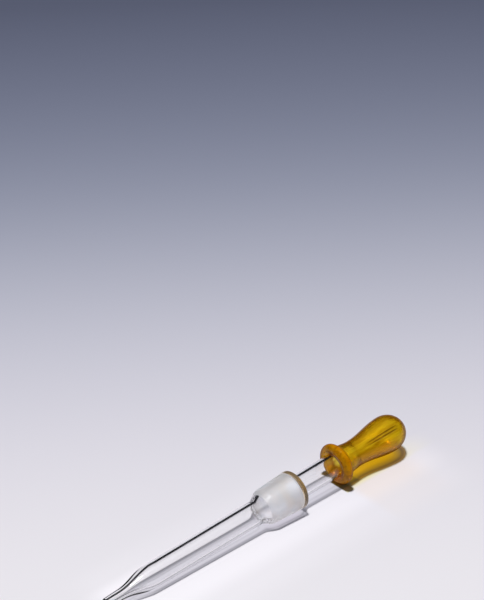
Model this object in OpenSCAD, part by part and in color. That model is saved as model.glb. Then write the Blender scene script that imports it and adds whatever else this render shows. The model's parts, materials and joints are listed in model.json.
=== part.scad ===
// Glass dropper pipette with a ground stopper cone and a rubber teat.
// It lies on its side: +X runs from the tip to the teat and +Z is up.
// The origin is on the surface it lies on, under the middle of its outline.
// Along the pipette, lengths are measured from the tip's end.

/* [Glass tube] */
// Outer diameter of the tube
tube_d = 8.8; // [8:0.1:9.4]
// Wall of the tube
tube_wall = 1.1; // [0.8:0.05:1.3]
// Straight tube between the tip's taper and the stopper
lower_len = 48; // [30:1:70]
// Straight tube between the stopper and the teat
neck_gap = 15.9; // [8:0.1:24]

/* [Tip] */
// Outer diameter of the narrow tip
tip_d = 3.9; // [3.2:0.1:4.6]
// Outer diameter at the mouth of the tip
mouth_d = 3.5; // [3:0.1:4.4]
// Bore of the tip
tip_bore = 2; // [1:0.1:2.3]
// Length of the narrow tip
tip_len = 6; // [4:0.5:14]
// Length over which the tip widens to the tube
taper_len = 14; // [10:0.5:20]
// How much later the bore widens than the outside
bore_lag = 2.5; // [1:0.5:4]

/* [Ground stopper] */
// Diameter of the wide end of the ground cone
cone_d = 14.5; // [13.5:0.1:15.2]
// Length of the ground cone
cone_len = 12.4; // [8:0.2:18]
// Length over which the diameter falls by one unit
cone_ratio = 10; // [8:0.5:14]
// Glass wall of the hollow stopper
cone_wall = 1.6; // [1.2:0.1:1.8]
// Length of the clear shoulder under the cone
shoulder_len = 6; // [4:0.5:9]
// Rounding of the polished rim at the wide end
rim_round = 0.6; // [0.3:0.1:0.8]
// Length of the fillet from the rim to the upper tube
fillet_len = 2.4; // [1.6:0.1:4]

/* [Rubber teat] */
// Depth of tube held in the teat
grip_len = 8; // [6:0.5:9]
// Overall length of the teat
teat_len = 33.6; // [31:0.2:40]
// Wall of the rubber
teat_wall = 1.1; // [0.8:0.1:1.3]
// Diameter of the rolled flange at the mouth
flange_d = 15.4; // [14:0.1:16]
// Width of the rolled flange along the teat
flange_w = 3.6; // [3:0.1:5]
// Height of the flange's rounded edge
flange_round = 2.2; // [1.4:0.1:2.2]
// Diameter of the neck at its narrowest
neck_d = 9.8; // [9.6:0.1:11]
// Distance of the narrowest neck from the mouth
neck_at = 10.4; // [9.6:0.2:12]
// Diameter of the bulb at its widest
bulb_d = 13.5; // [12:0.1:15]
// Distance of the widest part of the bulb from the mouth
bulb_at = 26.2; // [20:0.2:28]

/* [Hidden] */

$fn = 64;
// Points on one curved stretch of an outline
steps = 12;
// Room between the tube's end and the step in the teat
end_room = 0.3;
// Length of the step from the held bore to the free bore
step_len = 1;
// Turn about its own axis, which keeps the seam line of the turned surfaces off the floor
seam_turn = 4;

tube_r = tube_d / 2;
bore_r = tube_r - tube_wall;
tip_r = tip_d / 2;
mouth_r = mouth_d / 2;
tip_bore_r = tip_bore / 2;
mouth_round = (mouth_r - tip_bore_r) / 2;

cone_r = cone_d / 2;
cone_top_r = cone_r - cone_len / cone_ratio / 2;
hollow_r = cone_r - cone_wall;
hollow_top_r = cone_top_r - cone_wall;

neck_r = neck_d / 2;
bulb_r = bulb_d / 2;
flange_r = flange_d / 2;
flange_foot_r = flange_r - flange_round;

// Stations along the glass, from the tip's end
tube_from = tip_len + taper_len;
shoulder_from = tube_from + lower_len;
cone_from = shoulder_from + shoulder_len;
rim_at = cone_from + cone_len;
upper_from = rim_at + rim_round + fillet_len;
teat_from = upper_from + neck_gap;
glass_len = teat_from + grip_len;

// Eased step from 0 to 1
function ease(t) = (1 - cos(180 * t)) / 2;

// Smooth change of radius between two stations
function blend(r1, s1, r2, s2) =
    [for (i = [0 : steps]) [r1 + (r2 - r1) * ease(i / steps), s1 + (s2 - s1) * i / steps]];

// Part of an ellipse about [r, s], from one angle to another
function oval(r, s, rad, along, from, to) =
    [for (i = [0 : steps]) let (a = from + (to - from) * i / steps)
        [r + rad * cos(a), s + along * sin(a)]];

// Outside of the glass, from the tip's mouth to the end inside the teat
glass_outside = concat(
    oval(mouth_r - mouth_round, mouth_round, mouth_round, mouth_round, -90, 0),
    blend(tip_r, tip_len, tube_r, tube_from),
    blend(tube_r, shoulder_from, cone_top_r, cone_from),
    oval(cone_r - rim_round, rim_at, rim_round, rim_round, 0, 90),
    oval(cone_r - rim_round, upper_from, cone_r - rim_round - tube_r, -fillet_len, 90, 180),
    oval(tube_r - tube_wall / 2, glass_len - tube_wall / 2, tube_wall / 2, tube_wall / 2, 0, 180));

// Inside of the glass, from the end in the teat back to the tip's mouth
glass_inside = concat(
    blend(bore_r, upper_from, hollow_r, rim_at - cone_wall),
    blend(hollow_top_r, cone_from + cone_wall / 2, bore_r, shoulder_from + cone_wall / 2),
    blend(bore_r, tube_from + bore_lag, tip_bore_r, tip_len),
    [[tip_bore_r, mouth_round]]);

// Outside of the teat, from its mouth to the end of the bulb
teat_outside = concat(
    oval(flange_foot_r, flange_w / 2, flange_round, flange_w / 2, -90, 90),
    blend(flange_foot_r, flange_w, neck_r, neck_at),
    blend(neck_r, neck_at, bulb_r, bulb_at),
    oval(0, bulb_at, bulb_r, teat_len - bulb_at, 0, 90));

// Inside of the teat, from the end of the chamber back to its mouth
teat_inside = concat(
    oval(0, bulb_at, bulb_r - teat_wall, teat_len - bulb_at - teat_wall, 90, 0),
    blend(bulb_r - teat_wall, bulb_at, neck_r - teat_wall, neck_at),
    [[neck_r - teat_wall, grip_len + end_room + step_len],
     [tube_r, grip_len + end_room],
     [tube_r, 0]]);

// The floor touches the outline at two rings, one on each side of the balance point
rings = concat(glass_outside, [for (p = teat_outside) [p[0], p[1] + teat_from]]);
balance_at = cone_from;
supports = [
    for (a = rings) if (a[1] < balance_at)
        for (b = rings) if (b[1] > balance_at)
            let (rise = (b[0] - a[0]) / (b[1] - a[1]))
                [a[0] + rise * (balance_at - a[1]), atan(rise)]];
deepest = max([for (p = supports) p[0]]);
lean = [for (p = supports) if (p[0] == deepest) p[1]][0];
axis_z = deepest * cos(lean) - balance_at * sin(lean);

// Ends of the whole pipette along X, before it is centred
low_x = min([for (p = rings) p[1] * cos(lean) - p[0] * sin(lean)]);
high_x = max([for (p = rings) p[1] * cos(lean) + p[0] * sin(lean)]);

// Lays a piece turned about +Z down on the surface, tip towards -X
module lay_down() {
    translate([-(low_x + high_x) / 2, 0, axis_z])
        rotate([0, 90 - lean, 0])
            rotate([0, 0, seam_turn])
                children();
}

// Drawn tube, tip, hollow stopper and clear shoulders: one piece of glass
module glass_pipette() {
    color([0.86, 0.9, 0.92, 0.45])
        lay_down()
            rotate_extrude()
                polygon(concat(glass_outside, glass_inside));
}

// Moulded teat: rolled flange, neck and pear-shaped bulb
module rubber_teat() {
    color([0.8, 0.53, 0.05, 0.9])
        lay_down()
            translate([0, 0, teat_from])
                rotate_extrude()
                    polygon(concat(teat_outside, teat_inside));
}

glass_pipette();
rubber_teat();
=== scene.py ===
"""A glass dropping pipette with an amber rubber teat, lying on a pale studio floor.

The outlines are turned about the pipette's own axis. Its lengths are in millimetres, as in the
part's source, and become metres when a mesh is made. Stations run along the glass from the tip's end.
The camera, the floor and the lamp are placed in metres.
"""

import json
import math

import bpy
import numpy as np
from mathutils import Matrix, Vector


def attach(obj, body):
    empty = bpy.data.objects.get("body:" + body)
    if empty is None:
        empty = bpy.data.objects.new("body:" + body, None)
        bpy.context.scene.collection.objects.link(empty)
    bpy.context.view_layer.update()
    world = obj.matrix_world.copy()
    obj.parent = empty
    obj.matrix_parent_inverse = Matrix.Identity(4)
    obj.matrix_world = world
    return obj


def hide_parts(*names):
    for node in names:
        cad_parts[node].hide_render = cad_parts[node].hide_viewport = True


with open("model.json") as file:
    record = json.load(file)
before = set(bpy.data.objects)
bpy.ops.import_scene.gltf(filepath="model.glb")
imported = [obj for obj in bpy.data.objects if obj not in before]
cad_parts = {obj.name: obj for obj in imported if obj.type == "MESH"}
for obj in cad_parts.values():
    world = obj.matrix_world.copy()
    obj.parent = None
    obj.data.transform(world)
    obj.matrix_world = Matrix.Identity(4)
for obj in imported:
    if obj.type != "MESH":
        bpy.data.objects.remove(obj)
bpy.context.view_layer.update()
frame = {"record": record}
bpy.context.scene.view_settings.view_transform = "Standard"

MM = 0.001

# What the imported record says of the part
MOUNTS = {m["name"]: m for m in frame["record"]["mounts"]}
TUBE = MOUNTS["lower_tube"]
CONE = MOUNTS["ground_cone"]

# Glass: tube, tip and hollow stopper
TUBE_R = TUBE["dims"]["r_mm"]
LOWER_LEN = TUBE["dims"]["length_mm"]
NECK_GAP = 15.9
TUBE_WALL = 1.1
BORE_R = TUBE_R - TUBE_WALL
TIP_R, MOUTH_R, TIP_BORE_R = 1.95, 1.75, 1.0
TIP_LEN, TAPER_LEN, BORE_LAG = 6.0, 14.0, 2.5
CONE_R = CONE["dims"]["r_mm"]
CONE_LEN = CONE["dims"]["length_mm"]
CONE_SLOPE = 1 / 20
CONE_TOP_R = CONE_R - CONE_LEN * CONE_SLOPE
CONE_WALL = 1.6
SHOULDER_LEN = 6.0
RIM_ROUND, FILLET_LEN = 0.6, 2.4

# Teat, with places measured from its mouth; the rubber keeps a small gap from the glass it grips
GRIP_LEN, TEAT_LEN, TEAT_WALL = 8.0, 33.6, 1.1
FLANGE_R, FLANGE_W, FLANGE_ROUND = 7.7, 3.6, 2.2
NECK_R, NECK_AT = 4.9, 10.4
BULB_R, BULB_AT = 6.75, 26.2
END_ROOM, STEP_LEN = 0.3, 1.0
HOLD_GAP = 0.02

# Mould lines: angles about the axis in degrees, middle of their run from the teat's mouth and half
# its length, width in degrees, and height
LINES = (126.0, 135.5)
LINES_AT, LINES_HALF = 20.6, 7.2
LINE_WIDE, LINE_HIGH = 2.5, 0.3

# Stations
TUBE_FROM = TIP_LEN + TAPER_LEN
SHOULDER_FROM = TUBE_FROM + LOWER_LEN
CONE_FROM = SHOULDER_FROM + SHOULDER_LEN
RIM_AT = CONE_FROM + CONE_LEN
UPPER_FROM = RIM_AT + RIM_ROUND + FILLET_LEN
TEAT_FROM = UPPER_FROM + NECK_GAP
GLASS_LEN = TEAT_FROM + GRIP_LEN
FROST_FROM = CONE_FROM - 3.0
FROST_TO = RIM_AT - 1.5

# The axis in the frame: a point at a known station, the way towards the teat, and the way up
ALONG = -Vector(TUBE["axis"])
MIDDLE = Vector(TUBE["pos_m"])
MIDDLE_AT = TUBE_FROM + LOWER_LEN / 2
SIDE = Vector((0, 1, 0))
UPWARD = ALONG.cross(SIDE).normalized()
LEAN = math.atan2(ALONG.z, ALONG.x)

# Fineness: steps on a long curve and on the small rounds, longest step in mm, and points around
STEPS = 28
LIP_STEPS, RIM_STEPS, END_STEPS = 8, 12, 16
STRETCH = 1.5
GLASS_AROUND, TEAT_AROUND = 216, 360
SAME_POINT, ON_AXIS = 1e-4, 1e-6


def ease(t):
    """Eased step from 0 to 1."""
    return (1 - math.cos(math.pi * t)) / 2


def blend(r1, s1, r2, s2):
    """Smooth change of radius between two stations, as (radius, station) points."""
    ts = [i / STEPS for i in range(STEPS + 1)]
    return [(r1 + (r2 - r1) * ease(t), s1 + (s2 - s1) * t) for t in ts]


def oval(r, s, rad, along, start, stop, steps=STEPS):
    """Part of an ellipse about (r, s), from one angle to another in degrees."""
    angles = [math.radians(start + (stop - start) * i / steps) for i in range(steps + 1)]
    return [(r + rad * math.cos(a), s + along * math.sin(a)) for a in angles]


def filled(outline):
    """The outline with points added so that no step is long, and none doubled."""
    out = [outline[0]]
    for r2, s2 in outline[1:]:
        r1, s1 = out[-1]
        gap = math.hypot(r2 - r1, s2 - s1)
        if gap < SAME_POINT:
            continue
        count = max(1, math.ceil(gap / STRETCH))
        out += [(r1 + (r2 - r1) * k / count, s1 + (s2 - s1) * k / count) for k in range(1, count + 1)]
    return out


def glass_outline():
    """Closed outline of the glass: outside from the tip to the end in the teat, then inside back."""
    lip = (MOUTH_R - TIP_BORE_R) / 2
    end_r = TUBE_WALL / 2
    fillet_r = CONE_R - RIM_ROUND - TUBE_R
    outside = (
        oval(MOUTH_R - lip, lip, lip, lip, -90, 0, LIP_STEPS)
        + blend(TIP_R, TIP_LEN, TUBE_R, TUBE_FROM)
        + blend(TUBE_R, SHOULDER_FROM, CONE_TOP_R, CONE_FROM)
        + [(CONE_R - (RIM_AT - FROST_TO) * CONE_SLOPE, FROST_TO)]
        + oval(CONE_R - RIM_ROUND, RIM_AT, RIM_ROUND, RIM_ROUND, 0, 90, RIM_STEPS)
        + oval(CONE_R - RIM_ROUND, UPPER_FROM, fillet_r, -FILLET_LEN, 90, 180)
        + oval(TUBE_R - end_r, GLASS_LEN - end_r, end_r, end_r, 0, 180, END_STEPS)
    )
    inside = (
        blend(BORE_R, UPPER_FROM, CONE_R - CONE_WALL, RIM_AT - CONE_WALL)
        + blend(CONE_TOP_R - CONE_WALL, CONE_FROM + CONE_WALL / 2, BORE_R, SHOULDER_FROM + CONE_WALL / 2)
        + blend(BORE_R, TUBE_FROM + BORE_LAG, TIP_BORE_R, TIP_LEN)
        + oval(MOUTH_R - lip, lip, lip, lip, 180, 270, LIP_STEPS)
    )
    return filled(outside + inside)


def bulb_r(s):
    """Outside radius of the bulb at a station."""
    at = s - TEAT_FROM
    if at > BULB_AT:
        return BULB_R * math.sqrt(max(0, 1 - ((at - BULB_AT) / (TEAT_LEN - BULB_AT)) ** 2))
    return NECK_R + (BULB_R - NECK_R) * ease(max(0, at - NECK_AT) / (BULB_AT - NECK_AT))


def teat_outline():
    """Outline of the teat: outside from its mouth to the bulb's end, then inside back."""
    foot_r = FLANGE_R - FLANGE_ROUND
    hold_r = TUBE_R + HOLD_GAP
    held_to = GRIP_LEN + END_ROOM
    outside = (
        oval(foot_r, FLANGE_W / 2, FLANGE_ROUND, FLANGE_W / 2, -90, 90)
        + blend(foot_r, FLANGE_W, NECK_R, NECK_AT)
        + blend(NECK_R, NECK_AT, BULB_R, BULB_AT)
        + oval(0, BULB_AT, BULB_R, TEAT_LEN - BULB_AT, 0, 90)
    )
    inside = (
        oval(0, BULB_AT, BULB_R - TEAT_WALL, TEAT_LEN - BULB_AT - TEAT_WALL, 90, 0)
        + blend(BULB_R - TEAT_WALL, BULB_AT, NECK_R - TEAT_WALL, NECK_AT)
        + [(NECK_R - TEAT_WALL, held_to + STEP_LEN), (hold_r, held_to), (hold_r, 0)]
    )
    return [(r, s + TEAT_FROM) for r, s in filled(outside) + filled(inside)]


def turned(name, outline, around, finishes, finish_of=None, swell=None):
    """A closed mesh turned about the pipette's axis from (radius, station) points.

    finish_of gives a ring's finish from its station and whether it is on the outside. swell gives
    what is added to the radius at each spoke, from the point's own radius and station. The mesh
    stores what was added, as raised_mm, and marks the faces on the inside.
    """
    rings, points, raised = [], [], []
    angles = np.linspace(0, 2 * math.pi, around, endpoint=False)
    spokes = np.outer(np.cos(angles), np.array(SIDE)) + np.outer(np.sin(angles), np.array(UPWARD))
    for r, s in outline:
        centre = np.array(MIDDLE + ALONG * ((s - MIDDLE_AT) * MM))
        if r < ON_AXIS:
            rings.append([len(points)])
            points.append(centre)
            raised.append(0)
        else:
            rings.append(list(range(len(points), len(points) + around)))
            added = swell(angles, r, s) if swell else 0 * angles
            points.extend(centre + spokes * ((r + added) * MM)[:, None])
            raised.extend(added)
    faces, finish, inside = [], [], []
    for i, ring in enumerate(rings):
        after = rings[(i + 1) % len(rings)]
        if len(ring) == 1 and len(after) == 1:
            continue
        s1, s2 = outline[i][1], outline[(i + 1) % len(rings)][1]
        outer = s2 > s1
        index = finish_of((s1 + s2) / 2, outer) if finish_of else 0
        for k in range(around):
            j = (k + 1) % around
            if len(ring) == 1:
                face = (ring[0], after[j], after[k])
            elif len(after) == 1:
                face = (ring[k], ring[j], after[0])
            else:
                face = (ring[k], ring[j], after[j], after[k])
            faces.append(face)
            finish.append(index)
            inside.append(0 if outer else 1)
    mesh = bpy.data.meshes.new(name)
    mesh.from_pydata([tuple(p) for p in points], [], faces)
    for material in finishes:
        mesh.materials.append(material)
    mesh.polygons.foreach_set("material_index", finish)
    mesh.attributes.new("raised_mm", "FLOAT", "POINT").data.foreach_set("value", raised)
    mesh.attributes.new("inside", "FLOAT", "FACE").data.foreach_set("value", inside)
    mesh.shade_smooth()
    mesh.update()
    piece = bpy.data.objects.new(name, mesh)
    bpy.context.scene.collection.objects.link(piece)
    return piece


def mould_lines(angles, r, s):
    """The two fine raised lines that the mould leaves along the bulb's outside."""
    along = (s - TEAT_FROM - LINES_AT) / LINES_HALF
    if abs(along) >= 1 or r < bulb_r(s) - TEAT_WALL / 2:
        return 0 * angles
    ridges = [np.exp(-(((np.degrees(angles) - at) / LINE_WIDE) ** 2)) for at in LINES]
    return LINE_HIGH * (1 - along ** 4) * sum(ridges)


# Straight light: the colour that each surface lets on, by how far it is turned away. A tube's wall
# throws light aside, so the outside counts as dark where only wall lies below it.
OUTSIDE_PASS = [
    (0.000, (0.96, 0.96, 0.97)),
    (0.018, (0.96, 0.96, 0.97)),
    (0.032, (0.93, 0.93, 0.94)),
    (0.046, (0.78, 0.78, 0.79)),
    (0.056, (0.78, 0.78, 0.79)),
    (0.080, (0.93, 0.93, 0.94)),
    (0.200, (0.91, 0.91, 0.92)),
    (0.400, (0.66, 0.66, 0.68)),
    (0.600, (0.50, 0.50, 0.52)),
    (1.000, (0.05, 0.05, 0.06)),
]
BORE_PASS = [
    (0.00, (0.95, 0.95, 0.96)),
    (0.60, (0.87, 0.87, 0.88)),
    (1.00, (0.30, 0.30, 0.31)),
]
GROUND_PASS = [
    (0.00, (0.94, 0.93, 0.95)),
    (0.30, (0.90, 0.89, 0.91)),
    (0.60, (0.40, 0.40, 0.42)),
    (1.00, (0.05, 0.05, 0.06)),
]
AMBER_PASS = [
    (0.00, (0.96, 0.88, 0.40)),
    (0.12, (0.83, 0.77, 0.26)),
    (0.36, (0.71, 0.66, 0.20)),
    (0.61, (0.48, 0.44, 0.14)),
    (1.00, (0.10, 0.09, 0.02)),
]

# Painted dark lines in the glass, in place of the dark surroundings that its grazed faces show: share
# painted over by how far the surface is turned away, at the bore of the tube, at the bore of the tip and
# at its outside, and the stations over which the tip's fade
BORE_GRAZED = [(0.20, 0.0), (0.245, 0.9), (0.31, 0.9), (0.36, 0.0)]
TIP_BORE_GRAZED = [(0.10, 0.0), (0.15, 0.95), (0.34, 0.95), (0.42, 0.0)]
TIP_GRAZED = [(0.52, 0.0), (0.66, 0.85), (1.00, 0.85)]
TIP_BORE_AT = [(TIP_LEN, 1.0), (TUBE_FROM - 2.0, 0.0)]
TIP_EDGE_AT = [(TUBE_FROM - 6.0, 1.0), (TUBE_FROM - 0.5, 0.0)]
PAINTED_LINE_TONE = (0.01, 0.01, 0.012)

# Shares by height above the axis, in mm
UPPER_HALF = [(-0.5, 0.0), (0.5, 1.0)]
UPPER_MORE = [(-0.5, 0.5), (0.5, 1.0)]
LOWER_HALF = [(-1.5, 1.0), (1.5, 0.0)]

# Patterns: cycles per metre along and across the pipette, and detail; depth of their bumps in mm
WAVES, WAVES_DEEP = (45, 260, 1.0), 0.03
CLOUDS = (190, 190, 3.0)
GRAIN, GRAIN_DEEP = (3500, 3500, 2.0), 0.05
STREAKS, STREAKS_DEEP = (30, 800, 3.0), 0.14

# Glass, its ground cone and its rim, tinted brown as a painted stand-in for the amber teat that it shows
# by refraction
GLASS_IOR = 1.48
GROUND_CLEAR = 0.62
GROUND_TONES = [(0.35, (0.93, 0.96, 1.0)), (0.55, (0.99, 0.98, 0.98)), (0.70, (1.0, 0.96, 0.94))]
GROUND_ROUGH = [(0.30, 0.38), (0.70, 0.52)]
RIM_PAINTED_AMBER, RIM_CLEAR, RIM_ROUGH = (0.84, 0.58, 0.30), 0.75, 0.14

# Clear part of the rubber: tint by how far a face is turned away, of which the inner faces take a
# part, tint of its gleam, roughness outside and inside, and loss of red, green and blue per mm
RUBBER_IOR = 1.5
AMBER_SKIN = [
    (0.00, (1.00, 0.95, 0.44)),
    (0.30, (1.00, 0.92, 0.38)),
    (0.50, (0.90, 0.70, 0.26)),
    (0.80, (0.60, 0.42, 0.12)),
    (1.00, (0.30, 0.17, 0.02)),
]
INNER_TURN = 0.5
AMBER_GLEAM = (1.00, 0.62, 0.10)
OUTER_ROUGH, INNER_ROUGH = 0.10, 0.36
AMBER_LOSS = (0.005, 0.095, 1.200)

# Milky part of the rubber: its colour, its share by how far the surface is turned away, and how much
# of it is lit from behind
AMBER_MILK = (1.00, 0.71, 0.02)
MILK_SHARE = [(0.00, 0.14), (0.25, 0.10), (0.50, 0.03), (1.00, 0.0)]
MILK_GLOW = 0.4

# Tints of the rubber's streaks and mould lines, and its painted dark outline in place of the dark
# surroundings seen at its silhouette: share painted over and tone
STREAK_TONES = [(0.36, (0.72, 0.60, 0.43)), (0.50, (1.0, 1.0, 1.0))]
AMBER_SEAM = (0.14, 0.09, 0.05)
SEAM_BY_HEIGHT = [(0.0, 0.0), (LINE_HIGH * 0.8, 1.0)]
AMBER_GRAZED = [(0.40, 0.0), (0.70, 0.5), (1.00, 0.9)]
AMBER_PAINTED_EDGE = (0.22, 0.07, 0.001)

# The rubber's thick flange: where it is, its share of milkiness, its tint, and what it lets on
THICK_AT = [
    (TEAT_FROM + 0.4, 0.70),
    (TEAT_FROM + 1.6, 1.0),
    (TEAT_FROM + FLANGE_W - 0.6, 1.0),
    (TEAT_FROM + FLANGE_W + 2.4, 0.0),
]
THICK_SHARE = 0.72
THICK_TINT = (1.00, 0.58, 0.05)
THICK_PASS = (0.14, 0.11, 0.01)


def new_material(name):
    """An empty node material, its nodes, its links and its output."""
    material = bpy.data.materials.new(name)
    material.use_nodes = True
    tree = material.node_tree
    tree.nodes.clear()
    out = tree.nodes.new("ShaderNodeOutputMaterial")
    return material, tree.nodes, tree.links, out


def feed(links, value, socket):
    """Gives an input its value: another socket, a colour or a number."""
    if isinstance(value, bpy.types.NodeSocket):
        links.new(value, socket)
    elif socket.type == "RGBA":
        socket.default_value = (*value, 1)
    else:
        socket.default_value = value


def add_node(nodes, links, kind, inputs):
    """A node with the given inputs, each a socket, a colour or a number."""
    node = nodes.new(kind)
    for name, value in inputs.items():
        feed(links, value, node.inputs[name])
    return node


def grey(value):
    """The grey of a number."""
    return (value, value, value)


def follow(nodes, links, value, stops, mode="LINEAR"):
    """A colour that follows a value through the given (value, colour) stops."""
    first, last = stops[0][0], stops[-1][0]
    inputs = {"Value": value, "From Min": first, "From Max": last}
    span = add_node(nodes, links, "ShaderNodeMapRange", inputs)
    ramp = add_node(nodes, links, "ShaderNodeValToRGB", {"Fac": span.outputs["Result"]})
    ramp.color_ramp.interpolation = mode
    elements = ramp.color_ramp.elements
    while len(elements) < len(stops):
        elements.new(0.5)
    for element, (at, tone) in zip(elements, stops):
        element.position = (at - first) / (last - first)
        element.color = (*tone, 1)
    return ramp.outputs["Color"]


def profile(nodes, links, value, stops):
    """A number that follows a value smoothly through the given (value, number) stops."""
    return follow(nodes, links, value, [(at, grey(number)) for at, number in stops], "EASE")


def reckoned(nodes, links, operation, a, b):
    """Two numbers put together by an operation."""
    result = add_node(nodes, links, "ShaderNodeMath", {0: a, 1: b})
    result.operation = operation
    return result.outputs[0]


def times(nodes, links, a, b):
    """Two numbers multiplied."""
    return reckoned(nodes, links, "MULTIPLY", a, b)


def mixed(nodes, links, mode, share, a, b):
    """Two colours mixed by a share, each a socket or a constant."""
    mix = nodes.new("ShaderNodeMix")
    mix.data_type = "RGBA"
    mix.blend_type = mode
    mix.clamp_factor = True
    for name, value in (("Factor", share), ("A", a), ("B", b)):
        feed(links, value, next(i for i in mix.inputs if i.name == name and i.enabled))
    return next(o for o in mix.outputs if o.enabled)


def blended(nodes, links, share, a, b):
    """The first shader, with a share of the second."""
    inputs = {0: share, 1: a.outputs[0], 2: b.outputs[0]}
    return add_node(nodes, links, "ShaderNodeMixShader", inputs)


def dimmed(nodes, links, shader, share, tone):
    """The shader with a share of it painted over by a dull tone: painted shade."""
    dull = add_node(nodes, links, "ShaderNodeBsdfDiffuse", {"Color": tone})
    return blended(nodes, links, share, shader, dull)


def turned_away(nodes):
    """How far the surface is turned away, from 0 where it is faced to 1 at the silhouette."""
    return nodes.new("ShaderNodeLayerWeight").outputs["Facing"]


def grazing(nodes, links, stops):
    """A number that follows how far the surface is turned away."""
    return profile(nodes, links, turned_away(nodes), stops)


def stored(nodes, name):
    """A number that the mesh stores."""
    attribute = nodes.new("ShaderNodeAttribute")
    attribute.attribute_name = name
    return attribute.outputs["Fac"]


def own_frame(nodes, links, along, across):
    """Coordinates along and across the pipette's axis, scaled by cycles per metre."""
    place = nodes.new("ShaderNodeTexCoord").outputs["Object"]
    level = add_node(nodes, links, "ShaderNodeVectorRotate", {"Vector": place, "Angle": LEAN})
    level.rotation_type = "Y_AXIS"
    inputs = {0: level.outputs[0], 1: (along, across, across)}
    scaled = add_node(nodes, links, "ShaderNodeVectorMath", inputs)
    scaled.operation = "MULTIPLY"
    return scaled.outputs[0]


def measured(nodes, links, way, start):
    """Distance in mm along one way of the pipette's own frame, from a start."""
    place = own_frame(nodes, links, 1 / MM, 1 / MM)
    parts = add_node(nodes, links, "ShaderNodeSeparateXYZ", {0: place})
    return reckoned(nodes, links, "SUBTRACT", parts.outputs[way], start)


def station(nodes, links):
    """Station along the glass, in mm from the tip."""
    return measured(nodes, links, "X", MIDDLE.dot(ALONG) / MM - MIDDLE_AT)


def above_axis(nodes, links):
    """Height above the pipette's axis, in mm."""
    return measured(nodes, links, "Z", MIDDLE.dot(UPWARD) / MM)


def noise(nodes, links, along, across, detail):
    """Noise between 0 and 1, by cycles per metre along and across the pipette."""
    inputs = {"Vector": own_frame(nodes, links, along, across), "Scale": 1.0, "Detail": detail}
    return add_node(nodes, links, "ShaderNodeTexNoise", inputs).outputs["Fac"]


def bumped(nodes, links, shaders, height, depth_mm):
    """Lets a height between 0 and 1 shape the given shaders' surface."""
    inputs = {"Height": height, "Strength": 1.0, "Distance": depth_mm * MM}
    bump = add_node(nodes, links, "ShaderNodeBump", inputs)
    for shader in shaders:
        links.new(bump.outputs["Normal"], shader.inputs["Normal"])


def lets_light_through(nodes, links, surface, out, tones, darker=None):
    """Lamp light and scattered light go straight on, dimmer towards the silhouette.

    darker is a share and the colour that multiplies the light where it is 1.
    """
    path = nodes.new("ShaderNodeLightPath").outputs
    passing = reckoned(nodes, links, "MAXIMUM", path["Is Shadow Ray"], path["Is Diffuse Ray"])
    tone = follow(nodes, links, turned_away(nodes), tones)
    if darker:
        share, dark = darker
        tone = mixed(nodes, links, "MULTIPLY", share, tone, dark)
    straight = add_node(nodes, links, "ShaderNodeBsdfTransparent", {"Color": tone})
    both = blended(nodes, links, passing, surface, straight)
    links.new(both.outputs[0], out.inputs["Surface"])


def painted_dark_at_bore(nodes, links):
    """Share of painted dark at the bore, in place of the dark surroundings seen there, from inside the
    upper wall only.
    """
    inner = nodes.new("ShaderNodeNewGeometry").outputs["Backfacing"]
    upper = profile(nodes, links, above_axis(nodes, links), UPPER_HALF)
    tip = profile(nodes, links, station(nodes, links), TIP_BORE_AT)
    wide = grazing(nodes, links, BORE_GRAZED)
    fine = grazing(nodes, links, TIP_BORE_GRAZED)
    share = mixed(nodes, links, "MIX", tip, wide, fine)
    return times(nodes, links, share, times(nodes, links, inner, upper))


def painted_dark_at_edge(nodes, links):
    """Share of painted dark at the outline of the tip, in place of the dark surroundings seen there, more
    of it in the upper half.
    """
    upper = profile(nodes, links, above_axis(nodes, links), UPPER_MORE)
    tip = profile(nodes, links, station(nodes, links), TIP_EDGE_AT)
    return times(nodes, links, grazing(nodes, links, TIP_GRAZED), times(nodes, links, tip, upper))


def clear_glass(name, tones, tint=(1, 1, 1), clear=1.0, roughness=0.0, painted_dark=None):
    """Blown glass: clear, with a faint lengthwise waviness, and painted dark lines where a share is given.
    """
    material, nodes, links, out = new_material(name)
    shader = nodes.new("ShaderNodeBsdfPrincipled")
    shader.inputs["Base Color"].default_value = (*tint, 1)
    shader.inputs["Roughness"].default_value = roughness
    shader.inputs["IOR"].default_value = GLASS_IOR
    shader.inputs["Transmission Weight"].default_value = clear
    bumped(nodes, links, [shader], noise(nodes, links, *WAVES), WAVES_DEEP)
    # Painted dark lines: a dull tone mixed in where the glass is grazed, in place of the dark surroundings
    # it shows
    if painted_dark:
        shader = dimmed(nodes, links, shader, painted_dark(nodes, links), PAINTED_LINE_TONE)
    lets_light_through(nodes, links, shader, out, tones)
    return material


def ground_glass():
    """Ground glass: white, grainy, and slightly mottled."""
    material, nodes, links, out = new_material("ground_glass")
    cloud = noise(nodes, links, *CLOUDS)
    shader = nodes.new("ShaderNodeBsdfPrincipled")
    shader.inputs["IOR"].default_value = GLASS_IOR
    shader.inputs["Transmission Weight"].default_value = GROUND_CLEAR
    links.new(follow(nodes, links, cloud, GROUND_TONES), shader.inputs["Base Color"])
    links.new(profile(nodes, links, cloud, GROUND_ROUGH), shader.inputs["Roughness"])
    bumped(nodes, links, [shader], noise(nodes, links, *GRAIN), GRAIN_DEEP)
    lets_light_through(nodes, links, shader, out, GROUND_PASS)
    return material


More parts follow.
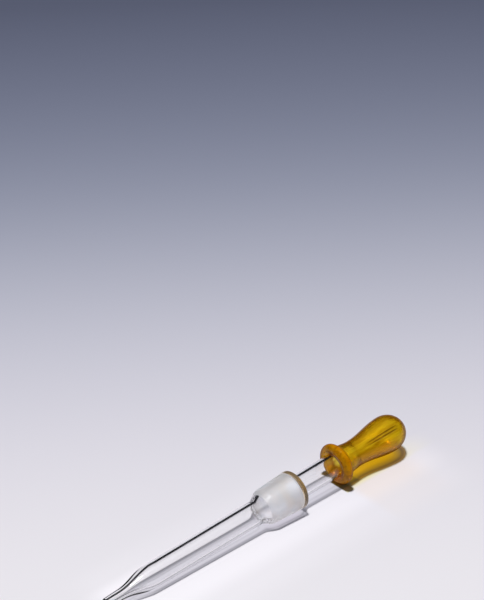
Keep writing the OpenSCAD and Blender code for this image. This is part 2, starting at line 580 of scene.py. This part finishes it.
def clear_rubber(nodes, links, inside, pattern):
    """The part of the rubber that is seen through: tinted at its faces, and duller inside."""
    rough = profile(nodes, links, inside, [(0.0, OUTER_ROUGH), (1.0, INNER_ROUGH)])
    part = profile(nodes, links, inside, [(0.0, 1.0), (1.0, INNER_TURN)])
    turn = times(nodes, links, turned_away(nodes), part)
    skin = follow(nodes, links, turn, AMBER_SKIN)
    clear = nodes.new("ShaderNodeBsdfPrincipled")
    clear.inputs["IOR"].default_value = RUBBER_IOR
    clear.inputs["Specular Tint"].default_value = (*AMBER_GLEAM, 1)
    clear.inputs["Transmission Weight"].default_value = 1
    links.new(rough, clear.inputs["Roughness"])
    links.new(mixed(nodes, links, "MULTIPLY", 1.0, skin, pattern), clear.inputs["Base Color"])
    return clear


def milky_rubber(nodes, links, tone):
    """The part of the rubber that scatters light: a shader lit in front and one lit from behind."""
    milk = mixed(nodes, links, "MULTIPLY", 1.0, tone, AMBER_MILK)
    lit = nodes.new("ShaderNodeBsdfPrincipled")
    lit.inputs["Roughness"].default_value = OUTER_ROUGH
    lit.inputs["Specular Tint"].default_value = (*AMBER_GLEAM, 1)
    glow = nodes.new("ShaderNodeBsdfTranslucent")
    links.new(milk, lit.inputs["Base Color"])
    links.new(milk, glow.inputs["Color"])
    return lit, glow


def amber_loss(nodes):
    """What the rubber takes out of the light on its way through."""
    loss = nodes.new("ShaderNodeVolumeAbsorption")
    density = max(AMBER_LOSS)
    loss.inputs["Color"].default_value = (*(1 - part / density for part in AMBER_LOSS), 1)
    loss.inputs["Density"].default_value = density / MM
    return loss


def amber_rubber():
    """Moulded rubber: amber, half clear, with fine lengthwise streaks, a denser flange and a painted dark
    outline.
    """
    material, nodes, links, out = new_material("amber_rubber")
    inside = stored(nodes, "inside")
    outer = reckoned(nodes, links, "SUBTRACT", 1.0, inside)
    flange = profile(nodes, links, station(nodes, links), THICK_AT)
    thick = times(nodes, links, flange, outer)

    streak = noise(nodes, links, *STREAKS)
    seam = profile(nodes, links, stored(nodes, "raised_mm"), SEAM_BY_HEIGHT)
    pattern = mixed(nodes, links, "MULTIPLY", seam, follow(nodes, links, streak, STREAK_TONES), AMBER_SEAM)
    clear = clear_rubber(nodes, links, inside, pattern)
    lit, glow = milky_rubber(nodes, links, mixed(nodes, links, "MULTIPLY", thick, pattern, THICK_TINT))
    bumped(nodes, links, [clear, lit, glow], streak, STREAKS_DEEP)

    share = mixed(nodes, links, "MIX", thick, grazing(nodes, links, MILK_SHARE), grey(THICK_SHARE))
    body = blended(nodes, links, share, clear, blended(nodes, links, MILK_GLOW, lit, glow))
    # Painted shade: a dark tone mixed in towards the outside silhouette
    outline = times(nodes, links, outer, grazing(nodes, links, AMBER_GRAZED))
    body = dimmed(nodes, links, body, outline, AMBER_PAINTED_EDGE)
    lower = profile(nodes, links, above_axis(nodes, links), LOWER_HALF)
    darker = (times(nodes, links, thick, lower), THICK_PASS)
    lets_light_through(nodes, links, body, out, AMBER_PASS, darker)
    links.new(amber_loss(nodes).outputs[0], out.inputs["Volume"])
    return material


# Camera: where it stands, what it looks at on the floor, and its lens
CAMERA_AT = Vector((-0.6274, -0.6739, 0.7023))
CAMERA_AIM = Vector((0.0922, 0.1083, 0.0))
CAMERA_LENS = 200.4


def add_camera():
    """The camera, aimed at its point on the floor."""
    data = bpy.data.cameras.new("camera")
    data.lens = CAMERA_LENS
    camera = bpy.data.objects.new("camera", data)
    camera.location = CAMERA_AT
    camera.rotation_euler = (CAMERA_AIM - CAMERA_AT).to_track_quat("-Z", "Y").to_euler()
    bpy.context.scene.collection.objects.link(camera)
    bpy.context.scene.camera = camera


# The floor's colour at distances beyond the point that the camera looks at, in metres, along the
# view and slightly to its left
TONES_TURN = 5
TONES_WAY = math.atan2(CAMERA_AIM.y - CAMERA_AT.y, CAMERA_AIM.x - CAMERA_AT.x) + math.radians(TONES_TURN)
AWAY = Vector((math.cos(TONES_WAY), math.sin(TONES_WAY), 0))
FLOOR_TONES = [
    (-0.240, (0.860, 0.840, 0.880)),
    (-0.160, (0.850, 0.825, 0.865)),
    (-0.080, (0.730, 0.710, 0.780)),
    (0.000, (0.525, 0.530, 0.620)),
    (0.080, (0.290, 0.310, 0.405)),
    (0.160, (0.178, 0.196, 0.275)),
    (0.240, (0.117, 0.130, 0.195)),
    (0.480, (0.040, 0.045, 0.072)),
    (0.960, (0.012, 0.013, 0.022)),
]
FLOOR_ROUGH = 0.9
FLOOR_HALF = 4.0

# Light that the glass and the teat throw on the floor, painted into the floor's colour: how much it adds,
# and its share by place across the pipette, minus on the camera's side, and by place along it
PAINTED_LIGHT_GAIN = 0.16
THROWN_BY_Y = [
    (-0.0360, 0.0),
    (-0.0210, 0.35),
    (-0.0110, 1.0),
    (-0.0020, 1.0),
    (0.0010, 0.7),
    (0.0030, 0.1),
    (0.0046, 0.1),
    (0.0058, 1.0),
    (0.0070, 1.0),
    (0.0130, 0.2),
    (0.0250, 0.0),
]
THROWN_BY_X = [(-0.075, 0.0), (-0.060, 1.0), (0.064, 1.0), (0.084, 0.0)]

# Painted amber light and shade on the floor where the teat colours that light: near the teat, under its
# bulb and under its flange
AMBER_BY_X = [(0.037, 0.0), (0.042, 1.0), (0.060, 1.0), (0.072, 0.3)]
PAINTED_AMBER_LIGHT = (1.0, 0.94, 0.87)
AMBER_BY_Y = [(-0.0075, 0.0), (-0.0045, 1.0), (0.0045, 1.0), (0.0075, 0.0)]
PAINTED_BULB_SHADE = (1.0, 0.98, 0.55)
FLANGE_BY_X = [(0.0361, 0.0), (0.0369, 1.0), (0.0394, 1.0), (0.0402, 0.0)]
FLANGE_BY_Y = [(-0.0075, 0.0), (-0.0066, 1.0), (0.0066, 1.0), (0.0075, 0.0)]
PAINTED_FLANGE_SHADE = (0.94, 0.90, 0.45)


def floor_material():
    """The pale floor, darker into the distance, with painted light beside the pipette and painted amber
    light and shade under the teat.
    """
    material, nodes, links, out = new_material("studio_floor")
    place = nodes.new("ShaderNodeNewGeometry").outputs["Position"]
    far = add_node(nodes, links, "ShaderNodeVectorMath", {0: place, 1: AWAY})
    far.operation = "DOT_PRODUCT"
    start = AWAY.dot(CAMERA_AIM)
    stops = [(start + at, tone) for at, tone in FLOOR_TONES]
    tone = follow(nodes, links, far.outputs["Value"], stops, "B_SPLINE")

    where = add_node(nodes, links, "ShaderNodeSeparateXYZ", {0: place}).outputs
    x, y = where["X"], where["Y"]
    # Painted light: the floor's colour lifted where the glass would throw light
    beside = profile(nodes, links, y, THROWN_BY_Y)
    painted_light = times(nodes, links, beside, profile(nodes, links, x, THROWN_BY_X))
    # Painted amber light near the teat, and painted amber shade under its bulb and its flange
    painted_amber_share = times(nodes, links, painted_light, profile(nodes, links, x, AMBER_BY_X))
    painted_bulb_shade_share = times(nodes, links, painted_amber_share, profile(nodes, links, y, AMBER_BY_Y))
    across = profile(nodes, links, y, FLANGE_BY_Y)
    painted_flange_shade_share = times(nodes, links, across, profile(nodes, links, x, FLANGE_BY_X))
    tone = mixed(nodes, links, "MULTIPLY", painted_light, tone, grey(1 + PAINTED_LIGHT_GAIN))
    tone = mixed(nodes, links, "MULTIPLY", painted_amber_share, tone, PAINTED_AMBER_LIGHT)
    tone = mixed(nodes, links, "MULTIPLY", painted_bulb_shade_share, tone, PAINTED_BULB_SHADE)
    tone = mixed(nodes, links, "MULTIPLY", painted_flange_shade_share, tone, PAINTED_FLANGE_SHADE)

    shader = nodes.new("ShaderNodeBsdfPrincipled")
    shader.inputs["Roughness"].default_value = FLOOR_ROUGH
    shader.inputs["Specular IOR Level"].default_value = 0.0
    links.new(tone, shader.inputs["Base Color"])
    links.new(shader.outputs[0], out.inputs["Surface"])
    return material


def add_floor():
    """A plain flat floor."""
    mesh = bpy.data.meshes.new("floor")
    h = FLOOR_HALF
    mesh.from_pydata([(-h, -h, 0), (h, -h, 0), (h, h, 0), (-h, h, 0)], [], [(0, 1, 2, 3)])
    mesh.materials.append(floor_material())
    floor = bpy.data.objects.new("floor", mesh)
    bpy.context.scene.collection.objects.link(floor)


# The lamp, almost straight above: the way to it, its distance, its width and its power in watts
KEY_WAY = Vector((-0.05, -0.02, 1.0)).normalized()
KEY_FAR = 1.6
KEY_SIZE = 0.16
KEY_POWER = 21.5


def add_key():
    """The lamp, a small disk turned towards the pipette."""
    data = bpy.data.lights.new("key", "AREA")
    data.shape = "DISK"
    data.size = KEY_SIZE
    data.energy = KEY_POWER
    key = bpy.data.objects.new("key", data)
    key.location = KEY_WAY * KEY_FAR
    key.rotation_euler = KEY_WAY.to_track_quat("Z", "Y").to_euler()
    bpy.context.scene.collection.objects.link(key)


# The studio's light by height in the sky: 0 at the horizon, 1 straight up
SKY_TONES = [
    (0.00, (0.012, 0.013, 0.020)),
    (0.35, (0.012, 0.013, 0.020)),
    (0.60, (0.030, 0.031, 0.035)),
    (0.88, (0.240, 0.243, 0.255)),
]


def add_world():
    """Soft light from the whole sky, brighter overhead."""
    world = bpy.data.worlds.new("studio")
    world.use_nodes = True
    bpy.context.scene.world = world
    nodes, links = world.node_tree.nodes, world.node_tree.links
    nodes.clear()
    out = nodes.new("ShaderNodeOutputWorld")
    way = nodes.new("ShaderNodeTexCoord").outputs["Generated"]
    height = add_node(nodes, links, "ShaderNodeSeparateXYZ", {0: way}).outputs["Z"]
    tone = follow(nodes, links, height, SKY_TONES, "EASE")
    sky = add_node(nodes, links, "ShaderNodeBackground", {"Color": tone})
    links.new(sky.outputs[0], out.inputs["Surface"])


# The glass's finishes, in the order of its materials
CLEAR, GROUND, RIM, BORE = range(4)


def glass_finish(s, outer):
    """Which of the glass's finishes a ring of faces has."""
    if not outer:
        return BORE
    if s < FROST_FROM or s > RIM_AT + RIM_ROUND:
        return CLEAR
    return GROUND if s < FROST_TO else RIM


glass = turned(
    "glass_body",
    glass_outline(),
    GLASS_AROUND,
    [
        clear_glass("clear_glass", OUTSIDE_PASS, painted_dark=painted_dark_at_edge),
        ground_glass(),
        # The rim's brown tint is painted, standing in for the amber teat seen through it
        clear_glass("rim_glass", OUTSIDE_PASS, RIM_PAINTED_AMBER, RIM_CLEAR, RIM_ROUGH),
        clear_glass("bore_glass", BORE_PASS, painted_dark=painted_dark_at_bore),
    ],
    glass_finish,
)
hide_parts("glass_pipette")
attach(glass, "root")

teat = turned("teat_skin", teat_outline(), TEAT_AROUND, [amber_rubber()], swell=mould_lines)
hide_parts("rubber_teat")
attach(teat, "root")

add_camera()
add_floor()
add_key()
add_world()
